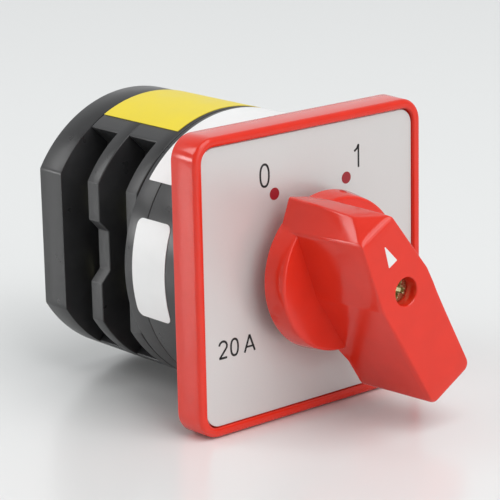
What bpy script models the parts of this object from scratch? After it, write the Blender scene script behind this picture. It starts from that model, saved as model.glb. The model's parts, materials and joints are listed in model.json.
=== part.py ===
"""Rotary cam switch for panel mounting, in metres.

A knob turns a square shaft from 0 to 1. The shaft's two cams let four spring-loaded
followers move inwards, and each follower's contact bridge then joins a pair of terminals.

Frame: X to the right and Z up for a person facing the knob, and Y from the knob into the
panel. The origin is on the shaft's axis, at the panel's front surface, which the rim of
the escutcheon frame's rear face touches. Angles named psi run clockwise from straight up
as that person sees them. At rest the knob points at 0.
"""
from math import asin, cos, degrees, pi, radians, sin

import bmesh
import bpy
from mathutils import Matrix

MM = 0.001
GAP = 0.3 * MM           # left between two pieces that touch
OVERRUN = 1.0 * MM       # how far a cutter runs past the face that it opens

# Escutcheon, in front of the panel
PLATE_SIDE = 48.0 * MM
PLATE_CORNER = 4.0 * MM
FRAME_DEPTH = 5.6 * MM
FRAME_LIP = 1.65 * MM
FACE_FRONT = -5.0 * MM
FACE_THICKNESS = 0.6 * MM
SEAT_RADIUS = 23.2 * MM  # round seat in the frame's rear face, for the housing
SEAT_DEPTH = 0.4 * MM

# Body behind the panel: a round housing, two stages with side flats and a rear cover
BODY_RADIUS = 22.64 * MM
FLAT_X = 19.45 * MM
DETENT_LENGTH = 10.0 * MM
COVER_END = 14.35 * MM
STAGE_PITCH = 10.07 * MM
STAGES = ("front", "rear")
RIB = 2.95 * MM          # solid disc at the front of each stage
BODY_END = 40.62 * MM
STACK_END = COVER_END + STAGE_PITCH * len(STAGES)
RECESS_X = 9.9 * MM      # floor of the side recess that holds the terminals
CAVITY_X = 8.4 * MM
CAVITY_Z = 13.7 * MM
CHAMBER_X = 3.4 * MM     # guide and spring chamber, above and below the cavity
CHAMBER_Z = 20.6 * MM

# Shaft and knob
SHAFT_SIDE = 5.0 * MM
SOCKET_SIDE = SHAFT_SIDE + 2 * GAP
BEARING_RADIUS = 5.3 * MM
SHAFT_HOLE_RADIUS = 4.2 * MM
SHAFT_FRONT = -20.7 * MM
SHAFT_REAR = 37.1 * MM
KNOB_TOP = -26.5 * MM
PROW_SLOPE = -21.5 * MM
SKIRT_TOP = -12.3 * MM
SKIRT_BASE = -8.2 * MM
SKIRT_RADIUS = 12.85 * MM
SKIRT_TOP_RADIUS = 12.35 * MM
TAIL_UNDERSIDE = -11.0 * MM
HUB_END = FACE_FRONT - GAP
REST_PSI = radians(-30)
THROW = radians(60)

# Screws
MOUNT_SCREW_XZ = 14.0 * MM
TIE_X = 7.9 * MM
TIE_Z = 16.6 * MM
SHANK_RADIUS = 1.5 * MM
HOLE_RADIUS = SHANK_RADIUS + GAP

# Contacts: the follower's travel is spread evenly over the knob's throw
CAM_HIGH = 6.5 * MM
TRAVEL = 1.4 * MM
CAM_FRONT = 4.4 * MM     # from the stage's front, also for everything that the cam works
CAM_WIDTH = 4.0 * MM
TERMINAL_Z = 8.3 * MM
TERMINAL_THICKNESS = 1.0 * MM
TERMINAL_SCREW_Z = 6.0 * MM
TERMINAL_PLATE_X = 10.2 * MM
PAD_HEIGHT = 0.5 * MM
BRIDGE_TIP = TERMINAL_Z + TERMINAL_THICKNESS + PAD_HEIGHT + GAP + TRAVEL


def clear_scene():
    for thing in list(bpy.data.objects):
        bpy.data.objects.remove(thing, do_unlink=True)


def make_material(name, colour, roughness, metallic=0.0):
    material = bpy.data.materials.new(name)
    material.use_nodes = True
    shader = material.node_tree.nodes["Principled BSDF"]
    shader.inputs["Base Color"].default_value = (*colour, 1.0)
    shader.inputs["Roughness"].default_value = roughness
    shader.inputs["Metallic"].default_value = metallic
    material.diffuse_color = (*colour, 1.0)
    return material


# ---- shapes -------------------------------------------------------------------------

def mesh_object(name, bm, material=None, parent=None, smooth=None):
    """Turn bm into an object, its faces pointing out; smooth is the sharp angle."""
    bmesh.ops.recalc_face_normals(bm, faces=bm.faces)
    mesh = bpy.data.meshes.new(name)
    bm.to_mesh(mesh)
    bm.free()
    if material:
        mesh.materials.append(material)
    if smooth:
        mesh.shade_smooth()
        mesh.set_sharp_from_angle(angle=radians(smooth))
    thing = bpy.data.objects.new(name, mesh)
    thing.parent = parent
    bpy.context.scene.collection.objects.link(thing)
    return thing


def loft(name, sections, material=None, parent=None, smooth=None):
    """Join outlines that lie across Y: sections is a list of (y, [(x, z), ...])."""
    bm = bmesh.new()
    rings = []
    for y, outline in sections:
        rings.append([bm.verts.new((x, y, z)) for x, z in outline])
    count = len(rings[0])
    for near, far in zip(rings, rings[1:]):
        for i in range(count):
            j = (i + 1) % count
            bm.faces.new((near[i], near[j], far[j], far[i]))
    bm.faces.new(rings[0])
    bm.faces.new(rings[-1])
    return mesh_object(name, bm, material, parent, smooth)


def prism(name, outline, y0, y1, material=None, parent=None, smooth=None):
    return loft(name, [(y0, outline), (y1, outline)], material, parent, smooth)


def turned(name, profile, steps, material=None, parent=None, centre=(0, 0)):
    """Turn a closed profile of (radius, y) points about the line along Y at centre."""
    bm = bmesh.new()
    rings = []
    for radius, y in profile:
        rings.append([bm.verts.new((x, y, z)) for x, z in arc(radius, 0, 2 * pi, steps, centre)])
    for k, ring in enumerate(rings):
        following = rings[(k + 1) % len(rings)]
        for i in range(steps):
            j = (i + 1) % steps
            bm.faces.new((ring[i], ring[j], following[j], following[i]))
    return mesh_object(name, bm, material, parent, smooth=40)


def arc(radius, start, end, steps, centre=(0, 0)):
    """Points from psi=start to psi=end; a whole circle leaves out the repeated end."""
    whole = abs(end - start) > 2 * pi - 1e-6
    pieces = steps if whole else steps - 1
    points = []
    for i in range(steps):
        psi = start + (end - start) * i / pieces
        points.append((centre[0] + radius * sin(psi), centre[1] + radius * cos(psi)))
    return points


def circle(radius, centre=(0, 0), steps=24):
    return arc(radius, 0, 2 * pi, steps, centre)


def box_outline(x0, x1, z0, z1):
    return [(x0, z0), (x1, z0), (x1, z1), (x0, z1)]


def square(side):
    half = side / 2
    return box_outline(-half, half, -half, half)


def rounded_square(side, corner, steps=7):
    """A square whose corners are quarter circles."""
    inner = side / 2 - corner
    outline = []
    for quarter, (sx, sz) in enumerate(((1, 1), (1, -1), (-1, -1), (-1, 1))):
        start = quarter * pi / 2
        outline += arc(corner, start, start + pi / 2, steps, (sx * inner, sz * inner))
    return outline


def flatted_circle(radius, flat_x, steps=18):
    """A circle cut off by two upright lines at x = -flat_x and flat_x."""
    edge = asin(flat_x / radius)
    return arc(radius, -edge, edge, steps) + arc(radius, pi - edge, pi + edge, steps)


def ring_sector(inner, outer, start, end, steps):
    return arc(outer, start, end, steps) + arc(inner, end, start, steps)


def helix_tube(name, coil_radius, wire_radius, turns, length, material, parent, spin):
    """A coil spring about Z that starts at z = 0; spin turns it about its axis."""
    bm = bmesh.new()
    sides = 5
    per_turn = 10
    steps = int(turns * per_turn)
    rings = []
    for i in range(steps + 1):
        angle = spin + 2 * pi * i / per_turn
        lift = wire_radius + (length - 2 * wire_radius) * i / steps
        ring = []
        for k in range(sides):
            around = 2 * pi * k / sides
            radius = coil_radius + wire_radius * cos(around)
            height = lift + wire_radius * sin(around)
            ring.append(bm.verts.new((radius * cos(angle), radius * sin(angle), height)))
        rings.append(ring)
    for near, far in zip(rings, rings[1:]):
        for k in range(sides):
            m = (k + 1) % sides
            bm.faces.new((near[k], near[m], far[m], far[k]))
    bm.faces.new(rings[0])
    bm.faces.new(rings[-1])
    return mesh_object(name, bm, material, parent, smooth=60)


def combine(target, other, operation):
    """Cut other out of target, or add it, and hide other."""
    modifier = target.modifiers.new(other.name, "BOOLEAN")
    modifier.object = other
    modifier.operation = operation
    modifier.solver = "EXACT"
    other.hide_render = True
    other.display_type = "WIRE"


def cut(target, *cutters):
    for cutter in cutters:
        combine(target, cutter, "DIFFERENCE")


def add(target, *others):
    for other in others:
        combine(target, other, "UNION")


def drill(target, label, radius, y0, y1, centres=((0, 0),), steps=12):
    """Cut a round hole along Y at each centre."""
    for i, centre in enumerate(centres):
        cut(target, prism(f"{label}_{i}", circle(radius, centre, steps), y0, y1))


def screw(name, head_radius, head, end, material, parent=None, shank=SHANK_RADIUS):
    """A cross-recessed screw on the Y axis: head = (top, underside) and end of shank.

    The head's top faces away from the shank, whichever way along Y that is.
    """
    top, underside = head
    outward = 1 if top > underside else -1
    thing = prism(name, circle(head_radius, steps=16), min(head), max(head), material, parent)
    overlap = underside + outward * 0.3 * MM
    stem = prism(f"{name}_stem", circle(shank, steps=8), min(overlap, end), max(overlap, end))
    stem.parent = parent
    add(thing, stem)
    depth = 0.55 * abs(top - underside)
    for turn in (0, pi / 2):
        slot = prism(
            f"{name}_slot_{turn:.0f}",
            box_outline(-0.66 * head_radius, 0.66 * head_radius, -0.28 * MM, 0.28 * MM),
            min(top - outward * depth, top + outward * OVERRUN),
            max(top - outward * depth, top + outward * OVERRUN),
        )
        slot.data.transform(Matrix.Rotation(turn, 4, "Y"))
        slot.parent = parent
        cut(thing, slot)
    return thing


def place(name, x, y, z, turn=0.0, axis=2):
    """An empty that carries a group; turn is about the axis numbered 0, 1 or 2."""
    empty = bpy.data.objects.new(name, None)
    empty.location = (x, y, z)
    empty.rotation_euler[axis] = turn
    empty.empty_display_size = 5 * MM
    bpy.context.scene.collection.objects.link(empty)
    return empty


clear_scene()
red = make_material("red_plastic", (0.72, 0.03, 0.02), 0.32)
silver = make_material("silver_plate", (0.62, 0.62, 0.60), 0.38, 0.6)
black = make_material("black_plastic", (0.03, 0.03, 0.033), 0.42)
cam_plastic = make_material("cam_plastic", (0.75, 0.74, 0.68), 0.45)
zinc = make_material("zinc_steel", (0.62, 0.60, 0.50), 0.30, 1.0)
spring_steel = make_material("spring_steel", (0.50, 0.50, 0.52), 0.28, 1.0)
copper = make_material("contact_copper", (0.80, 0.42, 0.22), 0.30, 1.0)
yellow = make_material("yellow_label", (0.88, 0.72, 0.08), 0.45)
white = make_material("white_label", (0.84, 0.84, 0.82), 0.50)

# ---- escutcheon: frame and face plate -------------------------------------------------

mount_centres = [(sx * MOUNT_SCREW_XZ, sz * MOUNT_SCREW_XZ) for sx in (-1, 1) for sz in (-1, 1)]
tie_centres = [(TIE_X, TIE_Z), (-TIE_X, -TIE_Z)]

pocket_floor = FACE_FRONT + FACE_THICKNESS + GAP
pocket_side = PLATE_SIDE - 2 * FRAME_LIP
escutcheon = loft("escutcheon_frame", [
    (-FRAME_DEPTH, rounded_square(PLATE_SIDE - 0.8 * MM, PLATE_CORNER - 0.4 * MM)),
    (-FRAME_DEPTH + 0.5 * MM, rounded_square(PLATE_SIDE, PLATE_CORNER)),
    (0.0, rounded_square(PLATE_SIDE, PLATE_CORNER)),
], red)
cut(
    escutcheon,
    prism("frame_pocket", rounded_square(pocket_side, PLATE_CORNER - 1.2 * MM),
          -FRAME_DEPTH - OVERRUN, pocket_floor),
    prism("frame_seat", circle(SEAT_RADIUS, steps=64), -SEAT_DEPTH, OVERRUN),
)
drill(escutcheon, "frame_bearing", BEARING_RADIUS, -FRAME_DEPTH - OVERRUN, OVERRUN, steps=32)
drill(escutcheon, "frame_screw_hole", HOLE_RADIUS, -FRAME_DEPTH, OVERRUN, mount_centres)
head_floor = -1.9 * MM
drill(escutcheon, "frame_counterbore", 3.3 * MM, -FRAME_DEPTH, head_floor, mount_centres, 20)

face = prism("face_plate", rounded_square(pocket_side - 2 * GAP, PLATE_CORNER - 1.5 * MM),
             FACE_FRONT, FACE_FRONT + FACE_THICKNESS, silver)
drill(face, "face_hole", BEARING_RADIUS + GAP, FACE_FRONT - OVERRUN, 0.0, steps=32)

for i, (x, z) in enumerate(mount_centres):
    holder = place(f"mounting_screw_place_{i + 1}", x, 0.0, z)
    screw(f"mounting_screw_{i + 1}", 3.0 * MM, (-4.05 * MM, head_floor - GAP), 6.0 * MM,
          zinc, holder)

# ---- detent housing, with the end stops, and its cover --------------------------------

housing_front = -SEAT_DEPTH + GAP
floor = 2.3 * MM
housing = turned("detent_housing", [
    (BEARING_RADIUS, housing_front),
    (BODY_RADIUS, housing_front),
    (BODY_RADIUS, DETENT_LENGTH - GAP / 2),
    (BODY_RADIUS - 1.6 * MM, DETENT_LENGTH - GAP / 2),
    (BODY_RADIUS - 1.6 * MM, floor),
    (BEARING_RADIUS, floor),
], 56, black)
inside = floor - 0.5 * MM
for i, centre in enumerate(mount_centres):
    add(housing, prism(f"mount_boss_{i}", circle(2.7 * MM, centre), inside, 7.0 * MM))
for i, centre in enumerate(tie_centres):
    add(housing, prism(f"tie_boss_{i}", circle(3.1 * MM, centre), inside, 9.7 * MM))
stop_lug_half = radians(10)
stop_clearance = radians(2.2)
stop_width = radians(18)
lug_psi = pi - THROW / 2
low_stop = lug_psi - stop_lug_half - stop_clearance
high_stop = lug_psi + THROW + stop_lug_half + stop_clearance
add(
    housing,
    prism("low_stop", ring_sector(8 * MM, 12 * MM, low_stop - stop_width, low_stop, 5),
          inside, 4.9 * MM),
    prism("high_stop", ring_sector(8 * MM, 12 * MM, high_stop, high_stop + stop_width, 5),
          inside, 4.9 * MM),
)
anchor_x = 12.2 * MM
anchor_z = 13.2 * MM
for sx in (-1, 1):
    for sz in (-1, 1):
        post = circle(1.1 * MM, (sx * anchor_x, sz * anchor_z), 12)
        add(housing, prism(f"spring_post_{sx}_{sz}", post, inside, 8.8 * MM))
drill(housing, "housing_screw_hole", HOLE_RADIUS, -OVERRUN, 6.4 * MM, mount_centres)
drill(housing, "housing_tie_hole", HOLE_RADIUS, 3.3 * MM, DETENT_LENGTH + OVERRUN, tie_centres)

cover = turned("detent_cover", [
    (SHAFT_HOLE_RADIUS, DETENT_LENGTH + GAP / 2),
    (BODY_RADIUS, DETENT_LENGTH + GAP / 2),
    (BODY_RADIUS, COVER_END - 0.7 * MM),
    (BODY_RADIUS - 0.45 * MM, COVER_END - 0.55 * MM),
    (BODY_RADIUS - 0.45 * MM, COVER_END - GAP / 2),
    (SHAFT_HOLE_RADIUS, COVER_END - GAP / 2),
], 56, black)
drill(cover, "cover_tie_hole", HOLE_RADIUS, DETENT_LENGTH - OVERRUN, COVER_END + OVERRUN,
      tie_centres)

# ---- rotor: knob, shaft, stop disc, detent wheel and cams -----------------------------

rotor = place("shaft_axis", 0, 0, 0)


def blade_outline(tip, prow, prow_half, waist, tail, tail_half):
    """The knob's bar from above, pointing up: half-widths at its prow, waist and tail."""
    return [
        (0, tip), (prow_half, prow), (waist, 0), (tail_half, tail + 1.2 * MM),
        (tail_half - 1.2 * MM, tail), (-tail_half + 1.2 * MM, tail),
        (-tail_half, tail + 1.2 * MM), (-waist, 0), (-prow_half, prow),
    ]


def turn_outline(outline, psi):
    return [(x * cos(psi) + z * sin(psi), -x * sin(psi) + z * cos(psi)) for x, z in outline]


knob = turned("knob", [
    (1.7 * MM, SKIRT_BASE),
    (SKIRT_RADIUS, SKIRT_BASE),
    (SKIRT_TOP_RADIUS, SKIRT_TOP),
    (6.0 * MM, SKIRT_TOP - 1.6 * MM),
    (1.7 * MM, SKIRT_TOP - 1.6 * MM),
], 64, red, rotor)
blade_sections = []
for y, sizes in (
    (TAIL_UNDERSIDE, (14.9, 11.5, 4.2, 6.2, -20.1, 5.1)),
    (KNOB_TOP, (13.95, 12.45, 3.55, 5.4, -20.0, 4.4)),
):
    outline = blade_outline(*(value * MM for value in sizes))
    blade_sections.append((y, turn_outline(outline, REST_PSI)))
prow_sections = []
for y, tip in ((SKIRT_BASE + 0.05 * MM, 15.1 * MM), (TAIL_UNDERSIDE - 0.5 * MM, 14.9 * MM)):
    wedge = [(0, tip), (3.9 * MM, 11.2 * MM), (0, 6 * MM), (-3.9 * MM, 11.2 * MM)]
    prow_sections.append((y, turn_outline(wedge, REST_PSI)))
add(knob, loft("knob_blade", blade_sections), loft("knob_prow", prow_sections))
slope_sections = []
for y, reach in ((PROW_SLOPE, 14.69 * MM), (KNOB_TOP - OVERRUN, 11.76 * MM)):
    block = [(-8 * MM, reach), (8 * MM, reach), (8 * MM, 20 * MM), (-8 * MM, 20 * MM)]
    slope_sections.append((y, turn_outline(block, REST_PSI)))
cut(knob, loft("prow_slope", slope_sections))
add(knob, prism("knob_hub", circle(6.6 * MM, steps=32), SKIRT_TOP, HUB_END))
undercut = turned("knob_undercut", [
    (8.2 * MM, SKIRT_BASE + OVERRUN),
    (8.2 * MM, SKIRT_BASE - 2.4 * MM),
    (11.2 * MM, SKIRT_BASE - 2.4 * MM),
    (11.2 * MM, SKIRT_BASE + OVERRUN),
], 48)
cut(knob, undercut)
socket_end = SHAFT_FRONT - GAP
screw_seat = -22.1 * MM
socket = prism("knob_socket", turn_outline(square(SOCKET_SIDE), REST_PSI), socket_end,
               HUB_END + OVERRUN)
cut(knob, socket)
drill(knob, "knob_shank_hole", 1.8 * MM, KNOB_TOP, socket_end + OVERRUN)
drill(knob, "knob_head_hole", 2.35 * MM, KNOB_TOP - OVERRUN, screw_seat, steps=24)

mark_tip = 9.2 * MM
mark_base = 5.7 * MM
mark_half = 0.93 * MM
mark_outline = [(0, mark_tip), (mark_half, mark_base), (-mark_half, mark_base)]
mark_bed = [(0, mark_tip + 1.2 * MM), (mark_half + 0.45 * MM, mark_base - GAP),
            (-mark_half - 0.45 * MM, mark_base - GAP)]
mark_depth = 0.4 * MM
cut(knob, prism("pointer_bed", turn_outline(mark_bed, REST_PSI), KNOB_TOP - OVERRUN,
                KNOB_TOP + mark_depth + GAP))
prism("pointer_mark", turn_outline(mark_outline, REST_PSI), KNOB_TOP, KNOB_TOP + mark_depth,
      white, rotor)
screw("knob_screw", 2.05 * MM, (-24.0 * MM, screw_seat - GAP), -14.0 * MM, zinc, rotor,
      1.4 * MM)

shaft = prism("shaft", turn_outline(square(SHAFT_SIDE), REST_PSI), SHAFT_FRONT, SHAFT_REAR,
              zinc, rotor)
drill(shaft, "shaft_thread", 1.7 * MM, SHAFT_FRONT - OVERRUN, -12.0 * MM)


def on_shaft(thing, y0, y1):
    """Cut the shaft's square hole through a piece that turns with it."""
    hole = turn_outline(square(SOCKET_SIDE), REST_PSI)
    cut(thing, prism(f"{thing.name}_square_hole", hole, y0 - OVERRUN, y1 + OVERRUN))


bush = prism("shaft_bush", circle(BEARING_RADIUS - GAP, steps=32), -4.9 * MM, floor, cam_plastic,
             rotor, smooth=40)
on_shaft(bush, -4.9 * MM, floor)

stop_front = floor + GAP
stop_rear = stop_front + 2.0 * MM
lug_start = lug_psi - stop_lug_half
lug_end = lug_psi + stop_lug_half
stop_outline = arc(11.4 * MM, lug_start, lug_end, 5)
stop_outline += arc(6.5 * MM, lug_end, lug_start + 2 * pi, 26)
stop_disc = prism("stop_disc", stop_outline, stop_front, stop_rear, zinc, rotor)
on_shaft(stop_disc, stop_front, stop_rear)

WHEEL_RADIUS = 9.0 * MM
NOTCH_DEPTH = 1.5 * MM
NOTCHES = 6


def wheel_outline(steps_per_notch=10):
    """Six rounded lobes: the radius dips as the cosine of the angle from each notch."""
    outline = []
    count = NOTCHES * steps_per_notch
    for i in range(count):
        psi = pi / 2 + 2 * pi * i / count
        dip = (0.5 + 0.5 * cos(NOTCHES * (psi - pi / 2))) ** 2
        radius = WHEEL_RADIUS - NOTCH_DEPTH * dip
        outline.append((radius * sin(psi), radius * cos(psi)))
    return outline


wheel_front = stop_rear + GAP
wheel_rear = DETENT_LENGTH - 1.1 * MM
wheel = prism("detent_wheel", wheel_outline(), wheel_front, wheel_rear, cam_plastic, rotor,
              smooth=30)
on_shaft(wheel, wheel_front, wheel_rear)


def cam_radius(psi):
    """Two equal lobes: the even 60 degree rise that works a follower, a dwell and a fall."""
    turn = degrees(psi) % 180
    if turn >= 120:
        return CAM_HIGH - TRAVEL * (180 - turn) / degrees(THROW)
    if turn <= 40:
        return CAM_HIGH
    if turn >= 100:
        return CAM_HIGH - TRAVEL
    return CAM_HIGH - TRAVEL * (0.5 - 0.5 * cos(pi * (turn - 40) / 60))


def cam_outline(steps=48):
    outline = []
    for i in range(steps):
        psi = 2 * pi * i / steps
        outline.append((cam_radius(psi) * sin(psi), cam_radius(psi) * cos(psi)))
    return outline


for number, stage in enumerate(STAGES):
    stage_front = COVER_END + number * STAGE_PITCH
    cam_front = stage_front + CAM_FRONT
    cam = prism(f"cam_{stage}", cam_outline(), cam_front, cam_front + CAM_WIDTH, cam_plastic,
                rotor, smooth=30)
    sleeve_front = stage_front + RIB + GAP
    sleeve_rear = stage_front + STAGE_PITCH - GAP / 2
    add(cam, prism(f"cam_sleeve_{stage}", circle(4.8 * MM, steps=24), sleeve_front, sleeve_rear))
    on_shaft(cam, sleeve_front, sleeve_rear)

# ---- detent springs: bent strips whose noses press into the wheel's side notches ------


def strip_outline(centre_line, thickness):
    """Give a bent centre line its thickness, on both sides, by offsetting along normals."""
    left = []
    right = []
    last = len(centre_line) - 1
    for i, (x, z) in enumerate(centre_line):
        x0, z0 = centre_line[max(i - 1, 0)]
        x1, z1 = centre_line[min(i + 1, last)]
        length = ((x1 - x0) ** 2 + (z1 - z0) ** 2) ** 0.5
        nx = -(z1 - z0) / length * thickness / 2
        nz = (x1 - x0) / length * thickness / 2
        left.append((x + nx, z + nz))
        right.append((x - nx, z - nz))
    return left + right[::-1]


STRIP_THICKNESS = 0.5 * MM
nose_x = WHEEL_RADIUS - NOTCH_DEPTH + GAP + 0.3 * MM
for name, side in (("left", -1), ("right", 1)):
    centre_line = []
    for x, z in ((10.4, 12.6), (10.4, 4.2), (9.2, 2.4), (8.4, 0.9)):
        centre_line.append((side * x * MM, z * MM))
    centre_line.append((side * nose_x, 0.0))
    for x, z in reversed(centre_line[:-1]):
        centre_line.append((x, -z))
    prism(f"detent_spring_{name}", strip_outline(centre_line, STRIP_THICKNESS),
          wheel_front + 0.3 * MM, wheel_rear - 0.3 * MM, spring_steel)

# ---- stages: housing, terminals, followers, bridges and springs -----------------------


def stage_solid_outline():
    """Section behind the rib: a full-radius arc at the top and bottom, joined by a core."""
    edge = radians(35)
    shoulder_z = 15.6 * MM
    outline = arc(BODY_RADIUS, -edge, edge, 15)
    outline += [(RECESS_X, shoulder_z), (RECESS_X, -shoulder_z)]
    outline += arc(BODY_RADIUS, pi - edge, pi + edge, 15)
    outline += [(-RECESS_X, -shoulder_z), (-RECESS_X, shoulder_z)]
    return outline


def cavity_outline():
    """The hollow section: a wide middle for the contacts and two narrow spring chambers."""
    quarter = [(CHAMBER_X, CHAMBER_Z), (CHAMBER_X, CAVITY_Z), (CAVITY_X, CAVITY_Z)]
    outline = list(quarter)
    outline += [(x, -z) for x, z in reversed(quarter)]
    outline += [(-x, -z) for x, z in quarter]
    outline += [(-x, z) for x, z in reversed(quarter)]
    return outline


def rib_notch(side, y0, y1):
    """A slot with slanting ends in the rib's side flat."""
    floor_x = side * (FLAT_X - 1.8 * MM)
    mouth_x = side * (FLAT_X + OVERRUN)
    reach = 1.9 * MM * (1.8 * MM + OVERRUN) / (1.8 * MM)
    floor_z = 3.3 * MM
    outline = [(floor_x, -floor_z), (floor_x, floor_z), (mouth_x, floor_z + reach),
               (mouth_x, -floor_z - reach)]
    return prism(f"rib_notch_{side}", outline, y0, y1)


def make_stage_housing(stage, stage_front, notched):
    """One moulding: rib, core, terminal barriers and hollows; notched dents the rib's flats."""
    front = stage_front + GAP / 2
    rear = stage_front + STAGE_PITCH - GAP / 2
    rib_rear = stage_front + RIB
    body = prism(f"stage_housing_{stage}", flatted_circle(BODY_RADIUS, FLAT_X), front, rib_rear,
                 black)
    add(body, prism(f"stage_core_{stage}", stage_solid_outline(), rib_rear - 0.6 * MM, rear))
    barrier = box_outline(-RECESS_X - 2.4 * MM, RECESS_X + 2.4 * MM, -0.6 * MM, 0.6 * MM)
    add(body, prism(f"stage_barrier_{stage}", barrier, rib_rear - 0.6 * MM, rear - 0.2 * MM))
    cut(body, prism(f"stage_cavity_{stage}", cavity_outline(), rib_rear, rear + OVERRUN))
    drill(body, f"stage_shaft_hole_{stage}", SHAFT_HOLE_RADIUS, front - OVERRUN,
          rib_rear + OVERRUN, steps=24)
    drill(body, f"stage_tie_hole_{stage}", HOLE_RADIUS, front - OVERRUN, rear + OVERRUN,
          tie_centres)
    slot_front = stage_front + CAM_FRONT - GAP
    for sz in (-1, 1):
        z_low = TERMINAL_Z - GAP
        z_high = TERMINAL_Z + TERMINAL_THICKNESS + GAP
        slot = box_outline(-RECESS_X - OVERRUN, RECESS_X + OVERRUN,
                           min(sz * z_low, sz * z_high), max(sz * z_low, sz * z_high))
        cut(body, prism(f"terminal_slot_{stage}_{sz}", slot, slot_front, rear + OVERRUN))
        bore = prism(f"terminal_bore_{stage}_{sz}", circle(1.7 * MM, steps=12),
                     -RECESS_X - OVERRUN, RECESS_X + OVERRUN)
        bore.rotation_euler = (0, 0, pi / 2)
        bore.location = (0, stage_front + CAM_FRONT + CAM_WIDTH / 2, sz * TERMINAL_SCREW_Z)
        cut(body, bore)
    if notched:
        for side in (-1, 1):
            cut(body, rib_notch(side, front - OVERRUN, rib_rear + OVERRUN))


def terminal_outline(side, up):
    """An angle strip: the contact limb with its pad inside, the screw plate outside."""
    plate_outer = TERMINAL_PLATE_X + TERMINAL_THICKNESS
    top = TERMINAL_Z + TERMINAL_THICKNESS
    points = [
        (4.6 * MM, TERMINAL_Z), (TERMINAL_PLATE_X, TERMINAL_Z), (TERMINAL_PLATE_X, 3.3 * MM),
        (plate_outer, 3.3 * MM), (plate_outer, top), (6.6 * MM, top),
        (6.4 * MM, top + PAD_HEIGHT), (4.8 * MM, top + PAD_HEIGHT), (4.6 * MM, top),
    ]
    return [(side * x, up * z) for x, z in points]


def bridge_outline(up):
    """The moving strip, with a contact tip near each end."""
    strip = BRIDGE_TIP + 0.6 * MM
    right = [(3.4 * MM, strip), (4.8 * MM, strip), (4.9 * MM, BRIDGE_TIP),
             (6.4 * MM, BRIDGE_TIP), (6.6 * MM, strip), (7.0 * MM, strip),
             (7.0 * MM, strip + 1.0 * MM)]
    outline = right + [(-x, z) for x, z in reversed(right)]
    return [(x, up * z) for x, z in outline]


def follower_outline(up):
    """A flat slide with a blunt nose on the cam and shoulders inside its chamber."""
    nose = CAM_HIGH + GAP
    right = [(0.7 * MM, nose), (3.0 * MM, nose + 2.3 * MM), (3.0 * MM, BRIDGE_TIP + 4.2 * MM)]
    outline = right + [(-x, z) for x, z in reversed(right)]
    return [(x, up * z) for x, z in outline]


def make_contact(stage, level, up, cam_front):
    label = f"{stage}_{level}"
    cam_rear = cam_front + CAM_WIDTH
    holder = place(f"follower_slide_{label}", 0, 0, 0)
    follower = prism(f"follower_{label}", follower_outline(up), cam_front, cam_rear,
                     cam_plastic, holder)
    strip = BRIDGE_TIP + 0.6 * MM
    low = up * (strip - GAP)
    high = up * (strip + 1.0 * MM + GAP)
    window = box_outline(-4.0 * MM, 4.0 * MM, min(low, high), max(low, high))
    inset = 0.5 * MM
    cut(follower, prism(f"follower_window_{label}", window, cam_front + inset,
                        cam_rear - inset))
    prism(f"contact_bridge_{label}", bridge_outline(up), cam_front + inset + GAP,
          cam_rear - inset - GAP, copper, holder)
    seat = BRIDGE_TIP + 4.2 * MM + GAP
    spring_place = place(f"spring_place_{label}", 0, (cam_front + cam_rear) / 2, up * seat,
                         0 if up > 0 else pi, 0)
    helix_tube(f"contact_spring_{label}", 1.7 * MM, 0.25 * MM, 3.5,
               CHAMBER_Z - GAP - seat, spring_steel, spring_place, 0.0)
    for side_name, side in (("left", -1), ("right", 1)):
        corner = f"{label}_{side_name}"
        terminal = prism(f"terminal_{corner}", terminal_outline(side, up), cam_front, cam_rear,
                         copper)
        centre_y = (cam_front + cam_rear) / 2
        screw_place = place(f"terminal_screw_place_{corner}", 0, centre_y,
                            up * TERMINAL_SCREW_Z, side * -pi / 2)
        hole = prism(f"terminal_hole_{corner}", circle(1.7 * MM, steps=12), 9.0 * MM, 13.0 * MM)
        hole.parent = screw_place
        cut(terminal, hole)
        plate_outer = TERMINAL_PLATE_X + TERMINAL_THICKNESS
        screw(f"terminal_screw_{corner}", 2.6 * MM, (plate_outer + GAP + 1.7 * MM,
              plate_outer + GAP), 8.7 * MM, zinc, screw_place, 1.4 * MM)


for number, stage in enumerate(STAGES):
    stage_front = COVER_END + number * STAGE_PITCH
    make_stage_housing(stage, stage_front, stage == "rear")
    for level, up in (("top", 1), ("bottom", -1)):
        make_contact(stage, level, up, stage_front + CAM_FRONT)

# ---- rear cover and tie screws --------------------------------------------------------

rear_front = STACK_END + GAP / 2
rear_floor = 37.4 * MM
rear_cover = loft("rear_cover", [
    (rear_front, flatted_circle(BODY_RADIUS, FLAT_X)),
    (BODY_END - 0.4 * MM, flatted_circle(BODY_RADIUS - 0.16 * MM, FLAT_X)),
    (BODY_END, flatted_circle(BODY_RADIUS - 0.55 * MM, FLAT_X - 0.4 * MM)),
], black)
hollow = flatted_circle(BODY_RADIUS - 2.0 * MM, CAVITY_X, 10)
cut(rear_cover, prism("rear_hollow", hollow, rear_front - OVERRUN, rear_floor))
for i, centre in enumerate(tie_centres):
    boss = circle(3.0 * MM, centre)
    add(rear_cover, prism(f"rear_boss_{i}", boss, rear_front + 0.1 * MM, rear_floor + 0.5 * MM))
bearing = turned("rear_bearing", [
    (SHAFT_HOLE_RADIUS, rear_front + 0.3 * MM),
    (6.2 * MM, rear_front + 0.3 * MM),
    (6.2 * MM, rear_floor + 0.5 * MM),
    (SHAFT_HOLE_RADIUS, rear_floor + 0.5 * MM),
], 32)
add(rear_cover, bearing)
counterbore = 38.5 * MM
drill(rear_cover, "rear_tie_hole", HOLE_RADIUS, rear_front - OVERRUN, BODY_END, tie_centres)
drill(rear_cover, "rear_counterbore", 3.1 * MM, counterbore, BODY_END + OVERRUN, tie_centres, 20)
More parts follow.
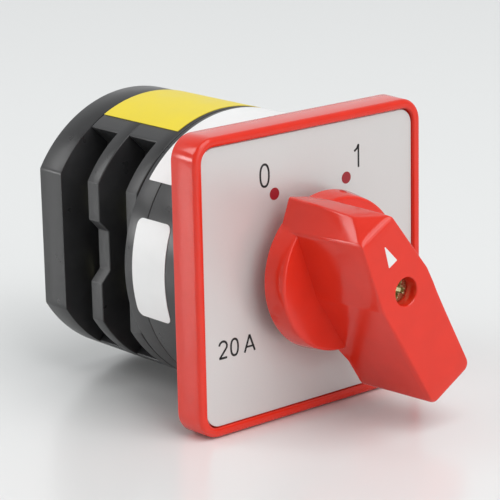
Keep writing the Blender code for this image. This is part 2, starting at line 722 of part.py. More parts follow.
for name, (x, z) in zip(("top", "bottom"), tie_centres):
    tie_place = place(f"tie_place_{name}", x, 0, z)
    screw(f"tie_screw_{name}", 2.8 * MM, (40.3 * MM, counterbore + GAP), 4.2 * MM, zinc,
          tie_place)

# ---- labels ---------------------------------------------------------------------------

LABEL_THICKNESS = 0.15 * MM


def label(name, middle, half, y0, y1, material):
    """A thin sheet wrapped round the body, half its angle either side of middle."""
    inner = BODY_RADIUS + GAP
    start = radians(middle - half)
    end = radians(middle + half)
    steps = max(9, int(half / 2))
    prism(name, ring_sector(inner, inner + LABEL_THICKNESS, start, end, steps), y0, y1, material)


label("yellow_label", 0, 26, 15.1 * MM, 34.5 * MM, yellow)
label("top_label", 0, 52, 0.5 * MM, 13.1 * MM, white)
label("side_label", -88, 20.5, 3.9 * MM, 12.0 * MM, white)
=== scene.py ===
"""Looks of a panel-mounted rotary cam switch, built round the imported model, in metres.

X is to the right and Z is up for a person facing the knob, and Y runs from the knob into
the panel. Angles named psi run clockwise from straight up as that person sees them.
"""
import json

import bmesh
import bpy
import numpy as np
from mathutils import Matrix, Vector


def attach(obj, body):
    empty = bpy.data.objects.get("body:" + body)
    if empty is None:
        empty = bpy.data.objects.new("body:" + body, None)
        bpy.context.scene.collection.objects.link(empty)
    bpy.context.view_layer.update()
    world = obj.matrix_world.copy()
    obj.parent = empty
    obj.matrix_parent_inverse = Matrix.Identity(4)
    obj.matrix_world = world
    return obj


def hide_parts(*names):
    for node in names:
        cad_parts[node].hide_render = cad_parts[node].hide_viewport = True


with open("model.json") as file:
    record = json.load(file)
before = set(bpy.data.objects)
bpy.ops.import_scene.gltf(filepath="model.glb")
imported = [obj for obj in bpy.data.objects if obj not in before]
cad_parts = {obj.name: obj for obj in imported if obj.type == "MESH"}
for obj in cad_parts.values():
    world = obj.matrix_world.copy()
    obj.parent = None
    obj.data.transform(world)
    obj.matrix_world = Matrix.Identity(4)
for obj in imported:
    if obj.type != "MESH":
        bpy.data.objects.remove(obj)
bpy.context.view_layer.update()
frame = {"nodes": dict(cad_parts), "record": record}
MM = 0.001

# ---- camera ---------------------------------------------------------------------------
# A long lens, left of the knob and a little above it. The Standard view transform shows
# the colours as the materials give them.

CAMERA_PLACE = Vector((-0.23880, -0.26904, 0.09851))
YAW, PITCH, ROLL = np.radians((40.57, 15.07, 1.17))


def camera_matrix():
    """Look along yaw from +Y towards +X, tipped down by pitch, then roll about that line."""
    forward = np.array([np.sin(YAW) * np.cos(PITCH), np.cos(YAW) * np.cos(PITCH),
                        -np.sin(PITCH)])
    level = np.array([np.cos(YAW), -np.sin(YAW), 0.0])
    down = np.cross(forward, level)
    right = np.cos(ROLL) * level + np.sin(ROLL) * down
    up = np.sin(ROLL) * level - np.cos(ROLL) * down
    turn = Matrix(np.array([right, up, -forward]).T.tolist()).to_4x4()
    return Matrix.Translation(CAMERA_PLACE) @ turn


camera_data = bpy.data.cameras.new("camera")
camera_data.sensor_width = 36.0
camera_data.lens = 167.6
camera_data.clip_start = 0.01
camera = bpy.data.objects.new("camera", camera_data)
camera.matrix_world = camera_matrix()
bpy.context.scene.collection.objects.link(camera)
bpy.context.scene.camera = camera
bpy.context.scene.view_settings.view_transform = "Standard"

# ---- detent housing -------------------------------------------------------------------
# The round cup behind the panel that holds the detent. Dark grey moulded plastic,
# turned here from its profile, with the thin steps that its cover leaves at the joint.

BODY_RADIUS = 22.64 * MM
EDGE = 0.2 * MM


def fillet(corners, radii, steps=5):
    """Round a closed outline: each corner becomes the arc that touches both its sides.

    The arc starts radius / tan(half the corner's angle) before the corner, and its
    points are the ends' tangent points swung round the arc's centre by equal angles.
    """
    corners = np.asarray(corners, float)
    radii = np.broadcast_to(radii, len(corners))
    rounded = []
    for i, corner in enumerate(corners):
        back = corners[i - 1] - corner
        ahead = corners[(i + 1) % len(corners)] - corner
        back_length = np.linalg.norm(back)
        ahead_length = np.linalg.norm(ahead)
        back /= back_length
        ahead /= ahead_length
        half = 0.5 * np.arccos(np.clip(back @ ahead, -1, 1))
        if radii[i] <= 0 or half > 1.55:
            rounded.append(corner[None])
            continue
        reach = min(radii[i] / np.tan(half), 0.49 * min(back_length, ahead_length))
        radius = reach * np.tan(half)
        middle = back + ahead
        middle /= np.linalg.norm(middle)
        centre = corner + middle * radius / np.sin(half)
        first = corner + back * reach - centre
        last = corner + ahead * reach - centre
        sweep = np.pi - 2 * half
        turn = np.sign(first[0] * last[1] - first[1] * last[0])
        angles = turn * np.linspace(0, sweep, steps)
        cosine, sine = np.cos(angles), np.sin(angles)
        arc = np.stack([first[0] * cosine - first[1] * sine,
                        first[0] * sine + first[1] * cosine], axis=1)
        rounded.append(centre + arc)
    return np.concatenate(rounded)


def surface(name, grid, along=True, caps=False, sharp=32):
    """Mesh a grid of points [i, j]: i runs along the piece and j round it.

    Each row closes on itself, and with along the last row joins the first. Caps close the
    first and the last row with one face each. Rows that shrink to a point are merged into
    a pole, and the faces are turned outwards by the sign of the enclosed volume.
    """
    grid = np.asarray(grid, float)
    rows, columns = grid.shape[:2]
    index = np.arange(rows * columns).reshape(rows, columns)
    i = np.arange(rows if along else rows - 1)[:, None]
    j = np.arange(columns)[None, :]
    quads = np.stack([index[i, j], index[i, (j + 1) % columns],
                      index[(i + 1) % rows, (j + 1) % columns], index[(i + 1) % rows, j]], -1)
    points = grid.reshape(-1, 3)
    quads = quads.reshape(-1, 4)
    a, b, c, d = (points[quads[:, k]] for k in range(4))
    volume = np.einsum("ij,ij->i", np.cross(c - a, d - b), (a + b + c + d) / 4).sum()
    faces = quads.tolist()
    if caps:
        for ring in (index[0][::-1], index[-1]):
            faces.append(ring.tolist())
            loop = points[ring]
            area = np.cross(loop, np.roll(loop, -1, axis=0)).sum(axis=0)
            volume += area @ loop.mean(axis=0)
    mesh = bpy.data.meshes.new(name)
    mesh.from_pydata(points.tolist(), [], faces)
    if volume < 0:
        mesh.flip_normals()
    thing = bpy.data.objects.new(name, mesh)
    bpy.context.scene.collection.objects.link(thing)
    clean(thing, sharp)
    return thing


def clean(thing, sharp):
    """Merge a mesh's doubled points, drop flat slivers, and shade it smooth up to sharp."""
    bm = bmesh.new()
    bm.from_mesh(thing.data)
    bmesh.ops.remove_doubles(bm, verts=bm.verts, dist=2e-7)
    bmesh.ops.dissolve_degenerate(bm, dist=1e-7, edges=bm.edges)
    bm.to_mesh(thing.data)
    bm.free()
    thing.data.shade_smooth()
    thing.data.set_sharp_from_angle(angle=np.radians(sharp))


def rings(rows, psi):
    """Rings about the axis, one for each (radius, y): x, z = radius times sin, cos of psi."""
    radii = np.stack([np.broadcast_to(radius, psi.shape) for radius, y in rows])
    depths = np.stack([np.broadcast_to(y, psi.shape) for radius, y in rows])
    return np.stack([radii * np.sin(psi), depths, radii * np.cos(psi)], axis=-1)


def revolve(name, profile, steps, centre=(0, 0), closed=True):
    """Turn a profile of (radius, y) points about a line along Y through centre, at x, z."""
    psi = np.linspace(0, 2 * np.pi, steps, endpoint=False)
    grid = rings(profile, psi) + (centre[0], 0, centre[1])
    return surface(name, grid, along=closed)


def feed(node, sockets):
    """Fill a node's sockets: another node's output is linked, and a value is set."""
    for socket, value in sockets.items():
        if isinstance(value, bpy.types.NodeSocket):
            node.id_data.links.new(value, node.inputs[socket])
        else:
            node.inputs[socket].default_value = value


def add_node(tree, kind, sockets=None, operation=None):
    """Add a node of one kind to a tree, set its operation and feed its sockets."""
    node = tree.nodes.new(kind)
    if operation:
        node.operation = operation
    feed(node, sockets or {})
    return node


def new_material(name):
    """A material with its tree, its shader, and the piece's own coordinates."""
    material = bpy.data.materials.new(name)
    material.use_nodes = True
    tree = material.node_tree
    place = add_node(tree, "ShaderNodeTexCoord").outputs["Object"]
    return material, tree, tree.nodes["Principled BSDF"], place


def plastic(name, colour, roughness, mottle, grain, grain_size):
    """Moulded plastic: cloudy variation of colour and gloss, and a fine surface grain."""
    material, tree, shader, place = new_material(name)
    cloud = add_node(tree, "ShaderNodeTexNoise", {"Vector": place, "Scale": 260, "Detail": 5})
    middle = {"Value": cloud.outputs["Fac"], "From Min": 0.3, "From Max": 0.7}
    tint = add_node(tree, "ShaderNodeMapRange",
                    {**middle, "To Min": 1 - mottle, "To Max": 1 + mottle})
    shade = add_node(tree, "ShaderNodeVectorMath",
                     {0: colour, "Scale": tint.outputs["Result"]}, "SCALE")
    gloss = add_node(tree, "ShaderNodeMapRange",
                     {**middle, "To Min": roughness - 0.04, "To Max": roughness + 0.05})
    pits = add_node(tree, "ShaderNodeTexNoise",
                    {"Vector": place, "Scale": 1 / (grain_size * MM), "Detail": 3})
    bump = add_node(tree, "ShaderNodeBump", {"Height": pits.outputs["Fac"], "Strength": grain,
                                             "Distance": 0.05 * MM})
    feed(shader, {"IOR": 1.5, "Base Color": shade.outputs["Vector"],
                  "Roughness": gloss.outputs["Result"], "Normal": bump.outputs["Normal"]})
    return material


def finish_piece(thing, material, body, slot_name, *nodes):
    """Give a piece its material and body, and let it stand for its CAD nodes; slot_name is not
    used.
    """
    thing.data.materials.clear()
    thing.data.materials.append(material)
    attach(thing, body)
    if nodes:
        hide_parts(*nodes)


black_plastic = plastic("moulded_dark_grey", (0.024, 0.024, 0.025), 0.31, 0.15, 0.22, 0.22)
HOUSING_FRONT = -0.1 * MM
HOUSING_FLOOR = 2.3 * MM
HOUSING_WALL = 1.6 * MM
DETENT_END = 10.0 * MM
SEAM = 0.05 * MM
BEARING = 5.3 * MM
housing_profile = fillet([
    (BEARING, HOUSING_FRONT),
    (BODY_RADIUS, HOUSING_FRONT),
    (BODY_RADIUS, DETENT_END - SEAM),
    (BODY_RADIUS - HOUSING_WALL, DETENT_END - SEAM),
    (BODY_RADIUS - HOUSING_WALL, HOUSING_FLOOR),
    (BEARING, HOUSING_FLOOR),
], (0.1 * MM, EDGE, EDGE * 0.6, 0.1 * MM, 0.3 * MM, 0.1 * MM))
housing = revolve("detent_housing_shell", housing_profile, 192)
finish_piece(housing, black_plastic, "switch_body", "black_plastic", "detent_housing")

# ---- detent cover ---------------------------------------------------------------------
# The disc that closes the detent housing. Same plastic, with a shallow groove turned
# into its rear edge where the first stage meets it.

COVER_END = 14.35 * MM
COVER_REAR = COVER_END - 0.02 * MM
GROOVE = 0.45 * MM
SHAFT_HOLE = 4.2 * MM
cover_profile = fillet([
    (SHAFT_HOLE, DETENT_END + SEAM),
    (BODY_RADIUS, DETENT_END + SEAM),
    (BODY_RADIUS, COVER_END - 0.7 * GROOVE),
    (BODY_RADIUS - GROOVE, COVER_REAR),
    (SHAFT_HOLE, COVER_REAR),
], (0.1 * MM, EDGE * 0.5, 0.1 * MM, 0.05 * MM, 0.1 * MM))
cover = revolve("detent_cover_disc", cover_profile, 192)
finish_piece(cover, black_plastic, "switch_body", "black_plastic", "detent_cover")

# ---- contact stages -------------------------------------------------------------------
# Two mouldings, one behind the other. Each has a rib with flats at its front, notched on the
# rear one, and behind it a hollow core, set back at both sides to make room for the
# terminals. A barrier across the core parts the upper terminals from the lower ones.

PITCH_Y = 10.07 * MM
RIB = 2.95 * MM
FLAT_X = 19.45 * MM
RECESS_X = 9.9 * MM
CAVITY_X = 8.4 * MM
CAVITY_Z = 13.7 * MM
CHAMBER_X = 3.4 * MM
CHAMBER_Z = 20.6 * MM
BARRIER_X = 12.3 * MM
BARRIER_Z = 0.6 * MM
BARRIER_GAP = 0.2 * MM
OVERLAP = 0.5 * MM
OVERRUN = 1.0 * MM
STAGES = ("front", "rear")


def arc_points(radius, start, end, steps):
    """An arc's x, z: its radius times the sine and the cosine of psi, from start to end."""
    psi = np.linspace(start, end, steps)
    return np.stack([radius * np.sin(psi), radius * np.cos(psi)], axis=1)


def flatted_circle(radius, flat_x, notch=False):
    """A circle cut by x = -flat_x and x = flat_x; notch dips each flat to a shorter floor."""
    steps = 60
    edge = np.arcsin(flat_x / radius)
    top = arc_points(radius, -edge, edge, steps)
    right = np.empty((0, 2))
    if notch:
        floor_x = flat_x - 1.8 * MM
        right = np.array([(flat_x, 5.2 * MM), (floor_x, 3.3 * MM),
                          (floor_x, -3.3 * MM), (flat_x, -5.2 * MM)])
    arc_radii = np.zeros(steps)
    arc_radii[[0, -1]] = 0.25 * MM
    half_radii = np.concatenate([arc_radii, np.full(len(right), 0.3 * MM)])
    return fillet(np.concatenate([top, right, -top, -right]), np.tile(half_radii, 2), 4)


def radius_at(outline, psi):
    """Distance from the axis along each psi to the sides of an outline that surrounds it.

    The ray meets the side from a to b at a distance of a cross side over ray cross side.
    """
    angle = np.arctan2(outline[:, 0], outline[:, 1]) % (2 * np.pi)
    order = np.argsort(angle)
    angle = angle[order]
    loop = outline[order]
    after = np.searchsorted(angle, psi, side="right") % len(angle)
    a = loop[after - 1]
    b = loop[after]
    side = b - a
    ray = np.stack([np.sin(psi), np.cos(psi)], axis=1)
    across = ray[:, 0] * side[:, 1] - ray[:, 1] * side[:, 0]
    return (a[:, 0] * side[:, 1] - a[:, 1] * side[:, 0]) / across


def inset(outline, depth):
    """Move each side inwards by depth, so each corner goes along its bisector.

    With the two sides' unit normals m and n, a corner moves by depth (m + n) / (1 + m . n).
    """
    side = np.roll(outline, -1, axis=0) - outline
    side /= np.linalg.norm(side, axis=1)[:, None]
    normal = np.stack([side[:, 1], -side[:, 0]], axis=1)
    ahead = np.roll(outline, -1, axis=0)
    area = outline[:, 0] @ ahead[:, 1] - outline[:, 1] @ ahead[:, 0]
    if area > 0:
        normal = -normal
    before = np.roll(normal, 1, axis=0)
    share = 1 + np.einsum("ij,ij->i", normal, before)
    return outline + depth * (normal + before) / share[:, None]


def at_depth(outline, y):
    """The x, z points of a flat outline, placed at one depth."""
    return np.stack([outline[:, 0], np.full(len(outline), y), outline[:, 1]], axis=1)


def prism(name, outline, y0, y1, front_edge=0.0, rear_edge=0.0):
    """An outline carried along Y, with its two rims rounded by quarter circles.

    At an angle a up the round, the outline is set in by the edge times one minus cos a, and
    stands the edge times one minus sin a away from the end.
    """
    quarter = np.radians(np.linspace(0, 90, 5))
    rows = [(front_edge * (1 - np.cos(angle)), y0 + front_edge * (1 - np.sin(angle)))
            for angle in (quarter[::-1] if front_edge else quarter[:1])]
    rows += [(rear_edge * (1 - np.cos(angle)), y1 - rear_edge * (1 - np.sin(angle)))
             for angle in (quarter if rear_edge else quarter[:1])]
    loops = np.stack([at_depth(inset(outline, depth), y) for depth, y in rows])
    return surface(name, loops, along=False, caps=True, sharp=30)


def core_outline():
    """Full-radius arcs at the top and bottom, joined by straight walls in the recesses."""
    steps = 42
    radius = BODY_RADIUS - 0.004 * MM
    top = arc_points(radius, -np.radians(35), np.radians(35), steps)
    shoulder = 15.6 * MM
    right = np.array([(RECESS_X, shoulder), (RECESS_X, -shoulder)])
    arc_radii = np.zeros(steps)
    arc_radii[[0, -1]] = 0.35 * MM
    half_radii = np.concatenate([arc_radii, np.full(len(right), 0.35 * MM)])
    return fillet(np.concatenate([top, right, -top, -right]), np.tile(half_radii, 2), 5)


def cavity_outline():
    """The hollow for the contacts, with a narrow spring chamber above and below it."""
    quarter = np.array([(CHAMBER_X, CHAMBER_Z), (CHAMBER_X, CAVITY_Z), (CAVITY_X, CAVITY_Z)])
    flipped = quarter[::-1] * (1, -1)
    half = np.concatenate([quarter, flipped])
    return np.concatenate([half, -half])


def join(name, mode, thing, others, sharp=30):
    """Unite solids with a piece, or cut them out of it, and keep the plain mesh."""
    for other in others:
        modifier = thing.modifiers.new(name, "BOOLEAN")
        modifier.operation = mode
        modifier.solver = "EXACT"
        modifier.object = other
    bpy.context.view_layer.update()
    solid = thing.evaluated_get(bpy.context.evaluated_depsgraph_get())
    mesh = bpy.data.meshes.new_from_object(solid)
    thing.modifiers.clear()
    thing.data = mesh
    clean(thing, sharp)
    for other in others:
        bpy.data.objects.remove(other, do_unlink=True)


shaft_hole = arc_points(SHAFT_HOLE, 0, 2 * np.pi, 49)[:-1]
barrier_outline = fillet([(-BARRIER_X, -BARRIER_Z), (BARRIER_X, -BARRIER_Z),
                          (BARRIER_X, BARRIER_Z), (-BARRIER_X, BARRIER_Z)], 0.15 * MM)
for number, stage in enumerate(STAGES):
    start = COVER_END + number * PITCH_Y
    end = start + PITCH_Y - SEAM
    rib_outline = flatted_circle(BODY_RADIUS, FLAT_X, notch=number > 0)
    moulding = prism(f"stage_moulding_{stage}", rib_outline, start + SEAM, start + RIB,
                     EDGE, EDGE * 0.6)
    core = prism("core", core_outline(), start + RIB - OVERLAP, end, 0, 0.12 * MM)
    barrier = prism("barrier", barrier_outline, start + RIB - OVERLAP, end - BARRIER_GAP)
    join("core", "UNION", moulding, [core, barrier])
    cavity = prism("cavity", cavity_outline(), start + RIB, end + OVERRUN)
    hole = prism("hole", shaft_hole, start - OVERRUN, start + RIB + OVERLAP)
    join("cavity", "DIFFERENCE", moulding, [cavity, hole])
    finish_piece(moulding, black_plastic, "switch_body", "black_plastic",
                 f"stage_housing_{stage}")

# ---- rear cover -----------------------------------------------------------------------
# Closes the stack and carries the shaft's rear end. A moulded lid with the ribs' outline,
# drafted towards its rounded rear edge.

STACK_END = COVER_END + PITCH_Y * len(STAGES)
BODY_END = 40.62 * MM
REAR_FLOOR = 37.4 * MM
WELL_RADIUS = 3.1 * MM
WELL_FLOOR = 38.5 * MM
TIES = ((7.9 * MM, 16.6 * MM), (-7.9 * MM, -16.6 * MM))


def lid_surface():
    """The lid's outside, from its hollow's mouth round the rim to the middle of its back."""
    psi = np.linspace(0, 2 * np.pi, 360, endpoint=False)
    outer = radius_at(flatted_circle(BODY_RADIUS, FLAT_X), psi)
    hollow = radius_at(flatted_circle(BODY_RADIUS - 2 * MM, CAVITY_X), psi)
    edge = 0.22 * MM
    draft = 0.03 * MM
    front = STACK_END + 0.15 * MM
    rows = [(0, REAR_FLOOR), (hollow, REAR_FLOOR), (hollow, front), (outer - 0.15 * MM, front),
            (outer - 0.04 * MM, front + 0.04 * MM), (outer, front + 0.15 * MM)]
    for angle in np.radians(np.linspace(0, 90, 6)):
        rows.append((outer - draft - edge * (1 - np.cos(angle)),
                     BODY_END - edge * (1 - np.sin(angle))))
    rows.append((0, BODY_END))
    return rings(rows, psi)


rear_cover = surface("rear_cover_lid", lid_surface(), along=False, sharp=30)
well_profile = fillet([(0, WELL_FLOOR), (WELL_RADIUS, WELL_FLOOR),
                       (WELL_RADIUS, BODY_END + OVERRUN), (0, BODY_END + OVERRUN)],
                      (0, 0.2 * MM, 0, 0))
wells = [revolve(f"tie_well_{i}", well_profile, 48, centre, closed=False)
         for i, centre in enumerate(TIES)]
join("wells", "DIFFERENCE", rear_cover, wells)
finish_piece(rear_cover, black_plastic, "switch_body", "black_plastic", "rear_cover")

# ---- escutcheon frame -----------------------------------------------------------------
# The square red frame that covers the panel cut-out. Glossy moulded plastic: one profile
# carried round a rounded square, and closed by a floor with a round hole for the shaft.

PLATE_HALF = 24.0 * MM
CORNER = 4.0 * MM
FRAME_FRONT = -5.6 * MM
POCKET_FLOOR = -4.1 * MM
LIP = 1.65 * MM
SEAT_RADIUS = 23.2 * MM


def square_ring(half, corner, psi):
    """Radius of a rounded square at each psi: its straight sides, and arcs at its corners."""
    steps = 12
    inner = half - corner
    corners = []
    for quarter in range(4):
        turn = quarter * np.pi / 2
        local = arc_points(corner, turn, turn + np.pi / 2, steps)
        sx = 1 if quarter in (0, 1) else -1
        sz = 1 if quarter in (0, 3) else -1
        corners.append(local + (sx * inner, sz * inner))
    return radius_at(np.concatenate(corners), psi)


def square_psi():
    """Even steps of psi, with the middles of the four corners among them."""
    even = np.linspace(0, 2 * np.pi, 720, endpoint=False)
    corners = np.pi / 4 + np.arange(4) * np.pi / 2
    return np.unique(np.round(np.concatenate([even, corners]), 7))


def frame_surface():
    """Rings of the frame, from its rear hole's edge out, forward, over the lip and back in.

    Each ring is a rounded square or a circle at one depth. The lip's two edges are
    quarter-circle rounds.
    """
    psi = square_psi()
    outer_round = 0.75 * MM
    inner_round = 0.45 * MM
    seat = -0.4 * MM
    rows = [(BEARING, POCKET_FLOOR), (BEARING, seat), (SEAT_RADIUS, seat), (SEAT_RADIUS, 0.0)]

    def square(depth, y):
        corner = max(CORNER - depth, 0.3 * MM)
        rows.append((square_ring(PLATE_HALF - depth, corner, psi), y))

    square(0.25 * MM, 0.0)
    square(0.06 * MM, -0.08 * MM)
    square(0.0, -0.3 * MM)
    for angle in np.radians(np.linspace(0, 90, 8)):
        square(0.12 * MM + outer_round * (1 - np.cos(angle)),
               FRAME_FRONT + outer_round * (1 - np.sin(angle)))
    for angle in np.radians(np.linspace(90, 0, 6)):
        square(LIP - inner_round * (1 - np.cos(angle)),
               FRAME_FRONT + inner_round * (1 - np.sin(angle)))
    square(LIP, POCKET_FLOOR)
    return rings(rows, psi)


RED = (0.72, 0.026, 0.010)
red_frame = plastic("glossy_red_frame", RED, 0.17, 0.03, 0.02, 0.6)
escutcheon = surface("escutcheon_moulding", frame_surface(), sharp=35)
finish_piece(escutcheon, red_frame, "switch_body", "red_plastic", "escutcheon_frame")

# ---- face plate -----------------------------------------------------------------------
# A thin silver plate that lies in the frame and hides the mounting screws. Metallised,
# with a fine satin finish and a small round hole for the knob's hub.

FACE_FRONT = -5.0 * MM
FACE_BACK = FACE_FRONT + 0.6 * MM


def plate_surface():
    """Rings from the back of the hub's hole, out and over the bevelled rim, and in again."""
    psi = square_psi()
    bevel = 0.05 * MM
    half = PLATE_HALF - LIP - 0.14 * MM
    corner = 2.6 * MM
    hole = 5.6 * MM
    rim = square_ring(half, corner, psi)
    front_rim = square_ring(half - bevel, corner, psi)
    rows = [(hole, FACE_BACK), (rim, FACE_BACK), (rim, FACE_FRONT + bevel),
            (front_rim, FACE_FRONT), (hole, FACE_FRONT)]
    return rings(rows, psi)


def satin_metal(name, colour, roughness, metallic, grain, size=0.4, relief=0.06):
    """Metal with a fine drawn or rolled grain that shifts its colour and roughness."""
    material, tree, shader, place = new_material(name)
    rolled = add_node(tree, "ShaderNodeTexNoise",
                      {"Vector": place, "Scale": 1 / (size * MM), "Detail": 4})
    ramp = add_node(tree, "ShaderNodeMapRange",
                    {"Value": rolled.outputs["Fac"], "From Min": 0.25, "From Max": 0.75,
                     "To Min": 1 - grain, "To Max": 1 + grain})
    shade = add_node(tree, "ShaderNodeVectorMath",
                     {0: colour, "Scale": ramp.outputs["Result"]}, "SCALE")
    rough = add_node(tree, "ShaderNodeMath", {0: ramp.outputs["Result"], 1: roughness},
                     "MULTIPLY")
    bump = add_node(tree, "ShaderNodeBump", {"Height": rolled.outputs["Fac"],
                                             "Strength": relief, "Distance": 0.02 * MM})
    feed(shader, {"Metallic": metallic, "Base Color": shade.outputs["Vector"],
                  "Roughness": rough.outputs["Value"], "Normal": bump.outputs["Normal"]})
    return material


silver = satin_metal("satin_silver", (0.69, 0.685, 0.675), 0.36, 0.35, 0.015, 0.12, 0.015)
face_plate = surface("face_plate_sheet", plate_surface(), sharp=30)
finish_piece(face_plate, silver, "switch_body", "silver_plate", "face_plate")

# ---- printed figures ------------------------------------------------------------------
# Position dots and figures, printed on the face plate: a generic 0, 1 and 20 A. Each is a
# film of ink, drawn as a stroke of even width.

INK_FRONT = FACE_FRONT - 0.02 * MM
INK_BACK = FACE_FRONT + 0.01 * MM


def stroke(path, width, closed):
    """A flat ribbon along a path: each point is moved half the width along its normal."""
    path = np.asarray(path, float)
    if closed:
        tangent = np.roll(path, -1, axis=0) - np.roll(path, 1, axis=0)
    else:
        tangent = np.gradient(path, axis=0)
    tangent /= np.linalg.norm(tangent, axis=1)[:, None]
    normal = np.stack([-tangent[:, 1], tangent[:, 0]], axis=1) * width / 2
    return path + normal, path - normal


def ink(name, path, width, material, closed):
    """A ribbon given the ink's thickness: four edges carried along the path."""
    left, right = stroke(path, width, closed)
    edges = [(left, INK_FRONT), (right, INK_FRONT), (right, INK_BACK), (left, INK_BACK)]
    grid = np.stack([at_depth(side, y) for side, y in edges], axis=1)
    thing = surface(name, grid, along=closed, caps=not closed, sharp=30)
    finish_piece(thing, material, "switch_body", "silver_plate")


def oval(centre, half_width, half_height, power=2.3, steps=64):
    """A superellipse: x and z are signed powers of the cosine and sine."""
    t = np.linspace(0, 2 * np.pi, steps, endpoint=False)
    c, s = np.cos(t), np.sin(t)
    return np.stack([centre[0] + half_width * np.sign(c) * np.abs(c) ** (2 / power),
                     centre[1] + half_height * np.sign(s) * np.abs(s) ** (2 / power)], axis=1)


black_ink = plastic("black_ink", (0.008, 0.008, 0.009), 0.62, 0.1, 0.02, 0.5)
red_ink = plastic("dark_red_ink", (0.30, 0.010, 0.018), 0.40, 0.05, 0.02, 0.5)
STROKE = 0.36 * MM
DOT_RADIUS = 0.98 * MM
dot_profile = [(0, INK_FRONT), (DOT_RADIUS, INK_FRONT), (DOT_RADIUS, INK_BACK), (0, INK_BACK)]
for name, centre in (("dot_0", (-7.5, 12.95)), ("dot_1", (7.75, 12.95))):
    dot = revolve(name, dot_profile, 48, np.array(centre) * MM, closed=False)
    finish_piece(dot, red_ink, "switch_body", "silver_plate")
hook = arc_points(0.78, np.radians(-80), np.radians(115), 24) + (-18.62, -9.40)
for name, path, share, closed in (
        ("figure_0", oval((-9.47, 16.17), 0.88, 1.75), 1, True),
        ("figure_1_flag", [(9.55, 16.95), (10.15, 17.35), (10.45, 17.95)], 1, False),
        ("figure_1_stem", [(10.45, 18.0), (10.45, 16.0), (10.45, 14.25)], 1, False),
        ("rating_2_hook", [*hook, (-18.6, -10.5), (-19.35, -11.3)], 1, False),
        ("rating_2_foot", [(-19.42, -11.3), (-18.6, -11.3), (-17.85, -11.3)], 1, False),
        ("rating_0", oval((-16.3, -10.0), 0.72, 1.32), 1, True),
        ("rating_a_left", [(-14.25, -11.4), (-13.75, -10.1), (-13.2, -8.65)], 1, False),
        ("rating_a_right", [(-13.2, -8.65), (-12.65, -10.1), (-12.15, -11.4)], 1, False),
        ("rating_a_bar", [(-13.85, -10.55), (-13.2, -10.55), (-12.5, -10.55)], 0.85, False)):
    ink(name, np.array(path) * MM, STROKE * share, black_ink, closed)

# ---- knob -----------------------------------------------------------------------------
# A red bar handle on a round skirt, moulded in one. The bar has a prow that points at the
# position, a widest point over the shaft, and a tail that overhangs the skirt.

REST_TURN = np.radians(-30)
KNOB_TOP = -26.48 * MM
SKIRT_TOP = -12.3 * MM
SKIRT_BASE = -8.2 * MM
HUB_END = -5.3 * MM
HEAD_HOLE = 2.25 * MM
HEAD_FLOOR = -22.4 * MM


def bar_outline(tip, shoulder, shoulder_half, waist, tail, tail_half, edge):
    """The bar's section, pointing up, as x, z points: a kite with a blunt tail."""
    waist_z = 0.3
    waist_edge = 2.5
    right = [(shoulder_half, shoulder), (waist, waist_z), (tail_half, tail)]
    left = [(-x, z) for x, z in right[::-1]]
    corners = np.array([(0, tip), *right, *left]) * MM
    tip_edge, shoulder_edge, tail_edge = edge
    radii = np.array((tip_edge, shoulder_edge, waist_edge, tail_edge,
                      tail_edge, waist_edge, shoulder_edge)) * MM
    return fillet(corners, radii, 9)


